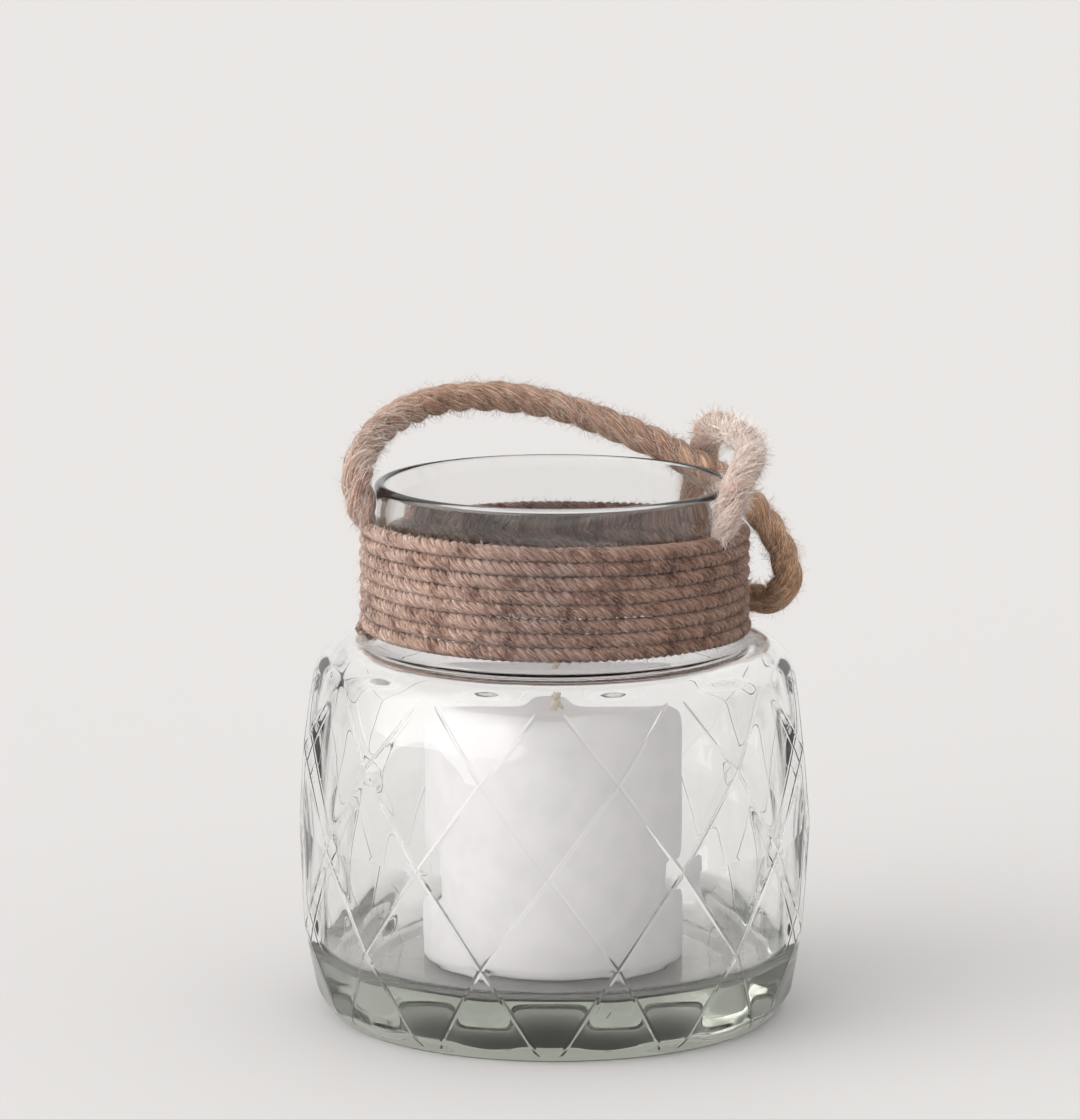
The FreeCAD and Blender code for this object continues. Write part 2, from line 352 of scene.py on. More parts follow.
# Gives the eye a matt brown yarn, streaked and blotched, that is paler where fibres catch the light.
# Jute fibres are finer than the render can show, so their streaks are drawn about eight times too wide
@dataclass(frozen=True)
class JuteFinish:
    """Hairy jute fibre, spun into yarn and laid."""

    name: str
    dark: str
    middle: str
    light: str
    tone_and_light: ToneAndLightRamp
    fibre_mm: float = 0.45
    streak_mm: float = 7.0
    blotch_mm: float = 11.0
    blotch: str = "#C2ABA2"
    blotch_share: float = 0.9
    yarn_turn_deg: float = 24.0
    fibre_h_mm: float = 0.5

    def build(self) -> bpy.types.Material:
        """Build the fibre streaks on the strand's own UV map, which is in millimetres.

        Returns:
            The material.
        """
        material, tree, out = new_material(self.name)
        uv = add_node(tree, "ShaderNodeUVMap", uv_map="strand")
        coords = add_node(tree, "ShaderNodeTexCoord")
        split = add_node(tree, "ShaderNodeSeparateXYZ", {"Vector": uv.outputs["UV"]})
        turned = add_node(tree, "ShaderNodeMapping", {
            "Vector": uv.outputs["UV"], "Rotation": (0.0, 0.0, math.radians(self.yarn_turn_deg)),
            "Scale": (1 / self.streak_mm, 1 / self.fibre_mm, 1.0)})
        streak = add_node(tree, "ShaderNodeTexNoise", {
            "Vector": turned.outputs["Vector"], "Scale": 1.0, "Detail": 4.0, "Roughness": 0.7})
        blotch = add_node(tree, "ShaderNodeTexNoise", {
            "Vector": coords.outputs["Object"], "Scale": 1 / (self.blotch_mm * MM),
            "Detail": 4.0, "Roughness": 0.65})
        ramp = add_node(tree, "ShaderNodeValToRGB", {"Fac": streak.outputs["Fac"]})
        set_ramp(ramp, [(0.36, self.dark), (0.5, self.middle), (0.64, self.light)])
        shade = add_node(tree, "ShaderNodeValToRGB", {"Fac": blotch.outputs["Fac"]})
        set_ramp(shade, [(0.36, self.blotch), (0.5, "#F0E2D8"), (0.64, "#FFFFFF")])
        patchy = add_node(tree, "ShaderNodeMix", {
            0: self.blotch_share, 6: ramp.outputs["Color"], 7: shade.outputs["Color"]},
            data_type="RGBA", blend_type="MULTIPLY")
        # Multiplies in the ramp of tone and painted light and shade
        colour = add_node(tree, "ShaderNodeMix", {
            0: 1.0, 6: patchy.outputs[2], 7: self.tone_and_light.build(tree, split.outputs["X"])},
            data_type="RGBA", blend_type="MULTIPLY")
        bump = add_node(tree, "ShaderNodeBump", {
            "Height": streak.outputs["Fac"], "Strength": 0.9, "Distance": self.fibre_h_mm * MM})
        jute = add_node(tree, "ShaderNodeBsdfPrincipled", {
            "Base Color": colour.outputs[2], "Roughness": 0.86, "Specular IOR Level": 0.2,
            "Sheen Weight": 0.3, "Sheen Roughness": 0.5, "Normal": bump.outputs["Normal"]})
        tree.links.new(jute.outputs["BSDF"], out.inputs["Surface"])
        return material


# Gives the eye a pale haze of fine dry hairs, each of its own shade, mostly paler than the yarn
@dataclass(frozen=True)
class FuzzFinish:
    """Loose jute fibres, dry and uncombed."""

    name: str
    dark: str
    middle: str
    light: str
    tone_and_light: ToneAndLightRamp

    def build(self) -> bpy.types.Material:
        """Build the hairs with a shade picked by each fibre's place on its UV map.

        Returns:
            The material.
        """
        material, tree, out = new_material(self.name)
        uv = add_node(tree, "ShaderNodeUVMap", uv_map="strand")
        split = add_node(tree, "ShaderNodeSeparateXYZ", {"Vector": uv.outputs["UV"]})
        ramp = add_node(tree, "ShaderNodeValToRGB", {"Fac": split.outputs["X"]})
        set_ramp(ramp, [(0.0, self.dark), (0.45, self.middle), (1.0, self.light)])
        colour = add_node(tree, "ShaderNodeMix", {
            0: 1.0, 6: ramp.outputs["Color"], 7: self.tone_and_light.build(tree, split.outputs["Y"])},
            data_type="RGBA", blend_type="MULTIPLY")
        hair = add_node(tree, "ShaderNodeBsdfPrincipled", {
            "Base Color": colour.outputs[2], "Roughness": 0.7, "Specular IOR Level": 0.3})
        tree.links.new(hair.outputs["BSDF"], out.inputs["Surface"])
        return material


# Gives the eye a soft white satin body with light spread under its skin, a faint mottle and a
# painted shade on its underside, seen only through the glass floor. Its poured grain is drawn coarser
# than it is, so that it shows
@dataclass(frozen=True)
class WaxFinish:
    """Paraffin wax, poured in a smooth mould."""

    name: str = "paraffin_wax"
    pale: str = "#F4F2F4"
    cloud: str = "#EEECEF"
    # Near-black painted shade for the underside, where the candle stands in its own shadow
    foot: str = "#20221D"
    painted_shade_z_mm: float = 18.1
    mottle_mm: float = 9.0
    grain_mm: float = 0.9

    def build(self) -> bpy.types.Material:
        """Build the wax with a cloudy mottle, a fine poured grain and a painted shade on its underside.

        Returns:
            The material.
        """
        material, tree, out = new_material(self.name)
        coords = add_node(tree, "ShaderNodeTexCoord")
        mottle = add_node(tree, "ShaderNodeTexNoise", {
            "Vector": coords.outputs["Object"], "Scale": 1 / (self.mottle_mm * MM), "Detail": 3.0})
        grain = add_node(tree, "ShaderNodeTexNoise", {
            "Vector": coords.outputs["Object"], "Scale": 1 / (self.grain_mm * MM), "Detail": 2.0})
        ramp = add_node(tree, "ShaderNodeValToRGB", {"Fac": mottle.outputs["Fac"]})
        set_ramp(ramp, [(0.35, self.cloud), (0.6, self.pale)])
        split = add_node(tree, "ShaderNodeSeparateXYZ", {"Vector": coords.outputs["Object"]})
        # Painted shade: the underside below the seat takes the near-black colour
        under = add_node(tree, "ShaderNodeMath", {
            0: split.outputs["Z"], 1: self.painted_shade_z_mm * MM}, operation="LESS_THAN")
        colour = add_node(tree, "ShaderNodeMix", {
            0: under.outputs[0], 6: ramp.outputs["Color"], 7: linear(self.foot)}, data_type="RGBA")
        rough = add_node(tree, "ShaderNodeMapRange", {
            "Value": grain.outputs["Fac"], "To Min": 0.42, "To Max": 0.56})
        bump = add_node(tree, "ShaderNodeBump", {
            "Height": grain.outputs["Fac"], "Strength": 0.15, "Distance": 0.1 * MM})
        wax = add_node(tree, "ShaderNodeBsdfPrincipled", {
            "Base Color": colour.outputs[2], "Roughness": rough.outputs["Result"], "IOR": 1.44,
            "Subsurface Weight": 0.35, "Subsurface Radius": (1.0, 0.9, 0.85), "Subsurface Scale": 4.0 * MM,
            "Normal": bump.outputs["Normal"]})
        tree.links.new(wax.outputs["BSDF"], out.inputs["Surface"])
        return material


# Gives the eye an off-white thread, slightly stiff and shiny, darker in its grooves
@dataclass(frozen=True)
class CottonFinish:
    """Cotton, braided and primed with wax."""

    name: str = "primed_cotton"
    thread: str = "#EFE8D9"
    groove: str = "#CDBFA6"
    thread_mm: float = 0.5

    def build(self) -> bpy.types.Material:
        """Build the cotton with fine threads along its plies.

        Returns:
            The material.
        """
        material, tree, out = new_material(self.name)
        uv = add_node(tree, "ShaderNodeUVMap", uv_map="strand")
        mapped = add_node(tree, "ShaderNodeMapping", {
            "Vector": uv.outputs["UV"], "Scale": (0.3, 1 / self.thread_mm, 1.0)})
        thread = add_node(tree, "ShaderNodeTexNoise", {
            "Vector": mapped.outputs["Vector"], "Scale": 1.0, "Detail": 2.0})
        ramp = add_node(tree, "ShaderNodeValToRGB", {"Fac": thread.outputs["Fac"]})
        set_ramp(ramp, [(0.35, self.groove), (0.6, self.thread)])
        bump = add_node(tree, "ShaderNodeBump", {
            "Height": thread.outputs["Fac"], "Strength": 0.4, "Distance": 0.1 * MM})
        cotton = add_node(tree, "ShaderNodeBsdfPrincipled", {
            "Base Color": ramp.outputs["Color"], "Roughness": 0.6, "Normal": bump.outputs["Normal"]})
        tree.links.new(cotton.outputs["BSDF"], out.inputs["Surface"])
        return material


def lathe(name: str, profile: Sequence[tuple[float, float]], steps: int) -> bpy.types.Object:
    """Spin a profile of (radius, height) points about Z.

    Args:
        name: Name of the new piece.
        profile: Points in millimetres, from the axis outwards and back to the axis.
        steps: Number of steps round the axis.

    Returns:
        The closed, outward-facing piece.
    """
    bpy.ops.object.select_all(action="DESELECT")
    bpy.ops.mesh.primitive_plane_add(size=2 * MM, location=(0, 0, 0))
    piece = bpy.context.object
    piece.name = name
    bpy.ops.object.mode_set(mode="EDIT")
    bpy.ops.mesh.select_all(action="SELECT")
    bpy.ops.mesh.merge(type="CENTER")
    bpy.ops.transform.translate(value=(profile[0][0] * MM, 0, profile[0][1] * MM))
    for a, b in zip(profile, profile[1:]):
        step = ((b[0] - a[0]) * MM, 0, (b[1] - a[1]) * MM)
        bpy.ops.mesh.extrude_region_move(TRANSFORM_OT_translate={"value": step})
    bpy.ops.object.mode_set(mode="OBJECT")
    ring = piece.data.attributes.new("ring", "FLOAT", "POINT")
    ring.data.foreach_set("value", np.arange(len(profile), dtype=np.float32))
    bpy.ops.object.mode_set(mode="EDIT")
    bpy.ops.mesh.select_all(action="SELECT")
    bpy.ops.mesh.spin(steps=steps, angle=2 * math.pi, center=(0, 0, 0), axis=(0, 0, 1))
    bpy.ops.mesh.select_all(action="SELECT")
    bpy.ops.mesh.remove_doubles(threshold=WELD_MM * MM)
    bpy.ops.mesh.normals_make_consistent(inside=False)
    bpy.ops.object.mode_set(mode="OBJECT")
    bpy.ops.object.shade_smooth()
    return piece


def arc_points(centre: tuple[float, float], radius: float, start: float, end: float,
               count: int) -> list[tuple[float, float]]:
    """Give count points along an arc of a profile, both ends included."""
    angles = np.linspace(start, end, count)
    return [(centre[0] + radius * math.cos(a), centre[1] + radius * math.sin(a)) for a in angles]


def soft_least(values: Sequence[np.ndarray], soft: float) -> np.ndarray:
    """Give the least of several surfaces, rounded over where they cross.

    Args:
        values: Radii of the surfaces at the same places.
        soft: Softness of the rounding in millimetres.

    Returns:
        The least radii.
    """
    stack = np.array(np.broadcast_arrays(*values))
    least = stack.min(axis=0)
    return least - soft * np.log(np.exp(-(stack - least) / soft).sum(axis=0))


def span(low: float, high: float, pitch: float) -> list[float]:
    """Give evenly spaced values from low to high, about pitch apart, both ends included."""
    return list(np.linspace(low, high, max(2, int(round(abs(high - low) / pitch)) + 1)))


@dataclass
class GlassJar:
    """The jar: folded diamonds round the body, a round shoulder, a plain neck and a rounded lip."""

    mould: Lattice = Lattice()
    body_r: float = 76.0
    foot_r: float = 66.0
    foot_draft_deg: float = 48.7
    shoulder_round: float = 13.5
    shoulder_centre: tuple[float, float] = (58.2, 98.4)
    shoulder_draft_deg: float = 14.5
    neck_r: float = 53.0
    neck_fillet: float = 4.0
    rim_z: float = 158.06
    lip_outer: float = 1.9
    lip_inner: float = 0.9
    neck_wall: float = 3.0
    side_wall: float = 2.5
    floor_z: float = 18.0
    floor_round: float = 14.0
    punt_h: float = 3.0
    foot_ring_w: float = 8.7
    ridge_soft: float = 0.32
    inner_r: float = 71.2
    inner_soft: float = 0.7
    inner_share: float = 0.4
    blend_soft: float = 0.4
    blown_gap: float = 2.0
    pressed_from_r: float = 50.0
    press_above: float = 8.0
    # Heights over the foot outside and over the floor inside, where pressing and true normals begin
    press_from: tuple[float, float] = (0.1, 0.05)
    true_from: tuple[float, float] = (0.8, 4.5)
    normal_step: float = 0.12
    steps: int = 360

    def neck_root_z(self) -> float:
        """Height at which the straight neck begins."""
        across = self.neck_r + self.neck_fillet - self.shoulder_centre[0]
        return self.shoulder_centre[1] + math.sqrt(
            (self.shoulder_round + self.neck_fillet) ** 2 - across ** 2)

    def skirt_r(self, round_r: float, height: Any) -> Any:
        """Radius of the drafted line that is tangent to a shoulder.

        Args:
            round_r: Radius of the shoulder's round in millimetres.
            height: Height or heights in millimetres.

        Returns:
            The radius at each height.
        """
        draft = math.radians(self.shoulder_draft_deg)
        begin_r = self.shoulder_centre[0] + round_r * math.cos(draft)
        begin_z = self.shoulder_centre[1] + round_r * math.sin(draft)
        return begin_r + (begin_z - height) * math.tan(draft)

    def shoulder_ends(self) -> tuple[tuple[float, float], float, float]:
        """Give what the outside and the inside of the shoulder share.

        Returns:
            Centre of the neck's fillet, and the angles at which the shoulder begins and meets the fillet.
        """
        centre = self.shoulder_centre
        fillet = (self.neck_r + self.neck_fillet, self.neck_root_z())
        meet = math.atan2(fillet[1] - centre[1], fillet[0] - centre[0])
        return fillet, math.radians(self.shoulder_draft_deg), meet

    def outer_turn_r(self, height: Any) -> Any:
        """Turned radius of the outside below the shoulder: the chamfered foot and the drafted skirt."""
        cone = self.foot_r + height / math.tan(math.radians(self.foot_draft_deg))
        return np.minimum(cone, self.skirt_r(self.shoulder_round, height))

    def inner_turn_r(self, height: Any) -> Any:
        """Turned radius of the inside below the shoulder: the rounded floor corner and the drafted skirt.

        Args:
            height: Height or heights in millimetres.

        Returns:
            The radius at each height.
        """
        wide = self.body_r - self.side_wall / 2
        drop = np.clip(self.floor_z + self.floor_round - height, 0.0, self.floor_round)
        corner = wide - self.floor_round + np.sqrt(self.floor_round ** 2 - drop ** 2)
        return np.minimum(corner, self.skirt_r(self.shoulder_round - self.neck_wall, height))

    def outside(self) -> list[tuple[float, float]]:
        """Give the turned profile from the middle of the foot, up the outside, to the top of the lip.

        Returns:
            Radii and heights in millimetres.
        """
        ring_r = self.foot_r - self.foot_ring_w
        centre = self.shoulder_centre
        fillet, draft, meet = self.shoulder_ends()
        begin_z = centre[1] + self.shoulder_round * math.sin(draft)
        dome_r = (ring_r ** 2 + self.punt_h ** 2) / (2 * self.punt_h)
        points = []
        for r in span(0.0, ring_r, 6.0):
            points.append((r, self.punt_h - dome_r + math.sqrt(dome_r ** 2 - r ** 2)))
        points.extend((r, 0.0) for r in span(ring_r, self.foot_r - 0.6, 2.0)[1:])
        for z in [0.15, 0.5, 1.0] + span(1.6, begin_z, 1.0):
            points.append((float(self.outer_turn_r(z)), z))
        points.extend(arc_points(centre, self.shoulder_round, draft, meet, 22)[1:])
        points.extend(arc_points(fillet, self.neck_fillet, meet - math.pi, -math.pi, 7)[1:])
        lip_z = self.rim_z - self.lip_outer
        points.extend((self.neck_r, z) for z in span(fillet[1], lip_z, 4.0)[1:])
        lip = (self.neck_r - self.lip_outer, lip_z)
        points.extend(arc_points(lip, self.lip_outer, 0, math.pi / 2, 9)[1:])
        return points

    def inside(self) -> list[tuple[float, float]]:
        """Give the turned profile from the top of the lip, down the inside, to the middle of the floor.

        Returns:
            Radii and heights in millimetres.
        """
        centre = self.shoulder_centre
        fillet, draft, meet = self.shoulder_ends()
        round_r = self.shoulder_round - self.neck_wall
        begin_z = centre[1] + round_r * math.sin(draft)
        bore_r = self.neck_r - self.neck_wall
        lip = (bore_r + self.lip_inner, self.rim_z - self.lip_inner)
        points = arc_points(lip, self.lip_inner, math.pi / 2, math.pi, 6)
        points.extend((bore_r, z) for z in span(lip[1], fillet[1], 5.0)[1:])
        turn_r = self.neck_fillet + self.neck_wall
        points.extend(arc_points(fillet, turn_r, -math.pi, meet - math.pi, 9)[1:])
        points.extend(arc_points(centre, round_r, meet, draft, 14)[1:])
        for z in span(begin_z, self.floor_z + 5.0, 1.6)[1:]:
            points.append((float(self.inner_turn_r(z)), z))
        for z in [4.0, 3.0, 2.2, 1.5, 1.0, 0.6, 0.3, 0.1]:
            points.append((float(self.inner_turn_r(self.floor_z + z)), self.floor_z + z))
        flat_r = self.body_r - self.side_wall / 2 - self.floor_round
        points.extend((r, self.floor_z) for r in span(flat_r, 0.0, 7.0))
        return points

    def facet_r(self, azimuth: np.ndarray, height: np.ndarray, inset: float, soft: float) -> np.ndarray:
        """Radius of the folded lattice, with softened ridges.

        Args:
            azimuth: Angles from the front, in radians.
            height: Heights in millimetres.
            inset: How far the lattice is drawn in.
            soft: Softness of the ridges in millimetres.

        Returns:
            Radii in millimetres.
        """
        pitch = 2 * math.pi / self.mould.columns
        half = math.cos(pitch / 2)
        nodes = [r - inset for r in self.mould.row_r]
        even = [r if i % 2 == 0 else r * half for i, r in enumerate(nodes)]
        odd = [r * half if i % 2 == 0 else r for i, r in enumerate(nodes)]
        turn = (azimuth - math.radians(self.mould.turn_deg) + pitch / 2) % pitch - pitch / 2
        planes = []
        for far, shifts in ((even, (-1.0, 0.0, 1.0)), (odd, (-0.5, 0.5))):
            reach = np.interp(height, self.mould.row_z, far)
            planes.extend(reach / np.cos(turn - shift * pitch) for shift in shifts)
        return soft_least(planes, soft)

    def wall_r(self, azimuth: np.ndarray, height: np.ndarray, outer: bool) -> np.ndarray:
        """Radius of the outer or inner face of the wall, below the shoulder.

        Args:
            azimuth: Angles from the front, in radians.
            height: Heights in millimetres.
            outer: Whether the outer face is meant.

        Returns:
            Radii in millimetres.
        """
        if outer:
            turned = self.outer_turn_r(height)
            return soft_least([turned, self.facet_r(azimuth, height, 0.0, self.ridge_soft)], self.blend_soft)
        return soft_least([self.inner_turn_r(height), self.dented_r(azimuth, height)], self.blend_soft)

    def dented_r(self, azimuth: np.ndarray, height: np.ndarray) -> np.ndarray:
        """Radius of the inside, which air has blown nearly round and which follows the mould in part.

        Args:
            azimuth: Angles from the front, in radians.
            height: Heights in millimetres.

        Returns:
            Radii in millimetres.
        """
        facet = self.facet_r(azimuth, height, self.side_wall, self.inner_soft)
        blown = soft_least([facet + self.blown_gap, np.full_like(facet, self.inner_r)], self.blend_soft)
        return self.inner_share * facet + (1 - self.inner_share) * blown

    def press(self, piece: bpy.types.Object, outside_rings: int) -> None:
        """Press the facets into the turned wall, as the mould does, and give the wall its true normals.

        Args:
            piece: Turned jar.
            outside_rings: Number of profile points that lie on the outside.
        """
        mesh = piece.data
        flat = np.empty(len(mesh.vertices) * 3, np.float32)
        mesh.vertices.foreach_get("co", flat)
        place = flat.reshape(-1, 3).astype(float) / MM
        radius = np.hypot(place[:, 0], place[:, 1])
        azimuth = np.arctan2(place[:, 0], -place[:, 1])
        z = place[:, 2]
        ring = np.round(self.ring_numbers(mesh)).astype(int)
        top = self.mould.row_z[-1] + self.press_above
        is_outer = ring < outside_rings
        for outer in (True, False):
            low = self.press_from[0] if outer else self.floor_z + self.press_from[1]
            mine = (is_outer == outer) & (z > low) & (z < top) & (radius > self.pressed_from_r)
            if outer:
                facet = self.facet_r(azimuth[mine], z[mine], 0.0, self.ridge_soft)
            else:
                facet = self.dented_r(azimuth[mine], z[mine])
            pressed = soft_least([radius[mine], facet], self.blend_soft)
            scale = pressed / radius[mine]
            place[mine, 0] *= scale
            place[mine, 1] *= scale
        mesh.vertices.foreach_set("co", (place * MM).astype(np.float32).ravel())
        mesh.update()
        normals = np.empty(len(mesh.vertices) * 3, np.float32)
        mesh.vertices.foreach_get("normal", normals)
        normals = normals.reshape(-1, 3).astype(float)
        for outer in (True, False):
            low = self.true_from[0] if outer else self.floor_z + self.true_from[1]
            below = z < self.shoulder_centre[1] - 1.0
            mine = (is_outer == outer) & (z > low) & below & (radius > self.pressed_from_r)
            normals[mine] = self.wall_normals(azimuth[mine], z[mine], outer)
        mesh.normals_split_custom_set_from_vertices([tuple(n) for n in normals])

    def wall_normals(self, azimuth: np.ndarray, z: np.ndarray, outer: bool) -> np.ndarray:
        """True normals of the wall's outer face, or of its inner face turned inwards.

        Args:
            azimuth: Angles from the front, in radians.
            z: Heights in millimetres.
            outer: Whether the outer face is meant.

        Returns:
            Unit normals.
        """
        step = self.normal_step
        r = self.wall_r(azimuth, z, outer)
        turn = step / r
        across = (self.wall_r(azimuth + turn, z, outer) - self.wall_r(azimuth - turn, z, outer)) / (2 * step)
        rise = (self.wall_r(azimuth, z + step, outer) - self.wall_r(azimuth, z - step, outer)) / (2 * step)
        sin, cos = np.sin(azimuth), np.cos(azimuth)
        normal = np.stack([sin - across * cos, -cos - across * sin, -rise], axis=1)
        normal /= np.linalg.norm(normal, axis=1)[:, None]
        return normal if outer else -normal

    def ring_numbers(self, mesh: bpy.types.Mesh) -> np.ndarray:
        """Number of the profile point that each corner was spun from.

        Args:
            mesh: Mesh of the turned jar.

        Returns:
            A number for each corner.
        """
        values = np.empty(len(mesh.vertices), np.float32)
        mesh.attributes["ring"].data.foreach_get("value", values)
        return values

    def build(self, finish: GlassFinish) -> bpy.types.Object:
        """Make, press and dress the jar.

        Args:
            finish: Glass that the jar is made of.

        Returns:
            The finished jar.
        """
        outside = self.outside()
        inside = self.inside()
        piece = lathe("faceted_jar", outside + inside, self.steps)
        self.press(piece, len(outside))
        piece.data.attributes.remove(piece.data.attributes["ring"])
        piece.data.materials.append(finish.build(self.mould))
        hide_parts("glass_jar")
        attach(piece, "jar")
        return piece


def route_points(name: str, route: Sequence[tuple[float, float, float]]) -> np.ndarray:
    """Read the smooth line of a route from its NURBS spline.

    Args:
        name: Name for the short-lived curve.
        route: Control points in millimetres.

    Returns:
        Points along the spline, in metres.
    """
    curve = bpy.data.curves.new(name, "CURVE")
    curve.dimensions = "3D"
    curve.resolution_u = 16
    spline = curve.splines.new("NURBS")
    spline.points.add(len(route) - 1)
    for point, place in zip(spline.points, route):
        point.co = (place[0] * MM, place[1] * MM, place[2] * MM, 1.0)
    spline.order_u = 3
    spline.use_endpoint_u = True
    holder = bpy.data.objects.new(name, curve)
    mesh = bpy.data.meshes.new_from_object(holder)
    points = np.array([v.co for v in mesh.vertices], float)
    bpy.data.objects.remove(holder)
    bpy.data.curves.remove(curve)
    bpy.data.meshes.remove(mesh)
    return points


def distances(path: np.ndarray) -> np.ndarray:
    """Distance along a line at each of its points."""
    return np.concatenate(([0.0], np.cumsum(np.linalg.norm(np.diff(path, axis=0), axis=1))))


def frames(path: np.ndarray) -> tuple[np.ndarray, np.ndarray, np.ndarray, np.ndarray]:
    """Carry a steady cross frame along a line.

    Args:
        path: Points of the line.

    Returns:
        Tangents, two cross directions and the distance along the line at each point.
    """
    tangent = np.gradient(path, axis=0)
    tangent /= np.linalg.norm(tangent, axis=1)[:, None]
    side = np.zeros_like(path)
    start = np.cross(tangent[0], (0.0, 0.0, 1.0))
    if np.linalg.norm(start) < 0.2:
        start = np.cross(tangent[0], (1.0, 0.0, 0.0))
    side[0] = start / np.linalg.norm(start)
    for i in range(1, len(path)):
        moved = side[i - 1] - tangent[i] * np.dot(side[i - 1], tangent[i])
        side[i] = moved / np.linalg.norm(moved)
    return tangent, side, np.cross(tangent, side), distances(path)


def evenly(path: np.ndarray, step: float) -> np.ndarray:
    """Give points about step apart along a line read from a spline.

    Args:
        path: Points of the line, in metres.
        step: Distance between points, in metres.

    Returns:
        Evenly spaced points.
    """
    along = distances(path)
    marks = np.linspace(0.0, along[-1], max(8, int(round(along[-1] / step)) + 1))
    return np.stack([np.interp(marks, along, path[:, i]) for i in range(3)], axis=1)


def uv_piece(name: str, corners: list, faces: list, uvs: np.ndarray) -> bpy.types.Object:
    """Make a piece from corners and faces, with its strand UV map.

    Args:
        name: Name of the new piece.
        corners: Places of the corners, in metres.
        faces: Numbers of each face's corners.
        uvs: UV place for each corner of each face.

    Returns:
        The new piece.
    """
    mesh = bpy.data.meshes.new(name)
    mesh.from_pydata(corners, [], faces)
    layer = mesh.uv_layers.new(name="strand")
    layer.data.foreach_set("uv", uvs.astype(np.float32).ravel())
    mesh.update()
    piece = bpy.data.objects.new(name, mesh)
    bpy.context.scene.collection.objects.link(piece)
    return piece


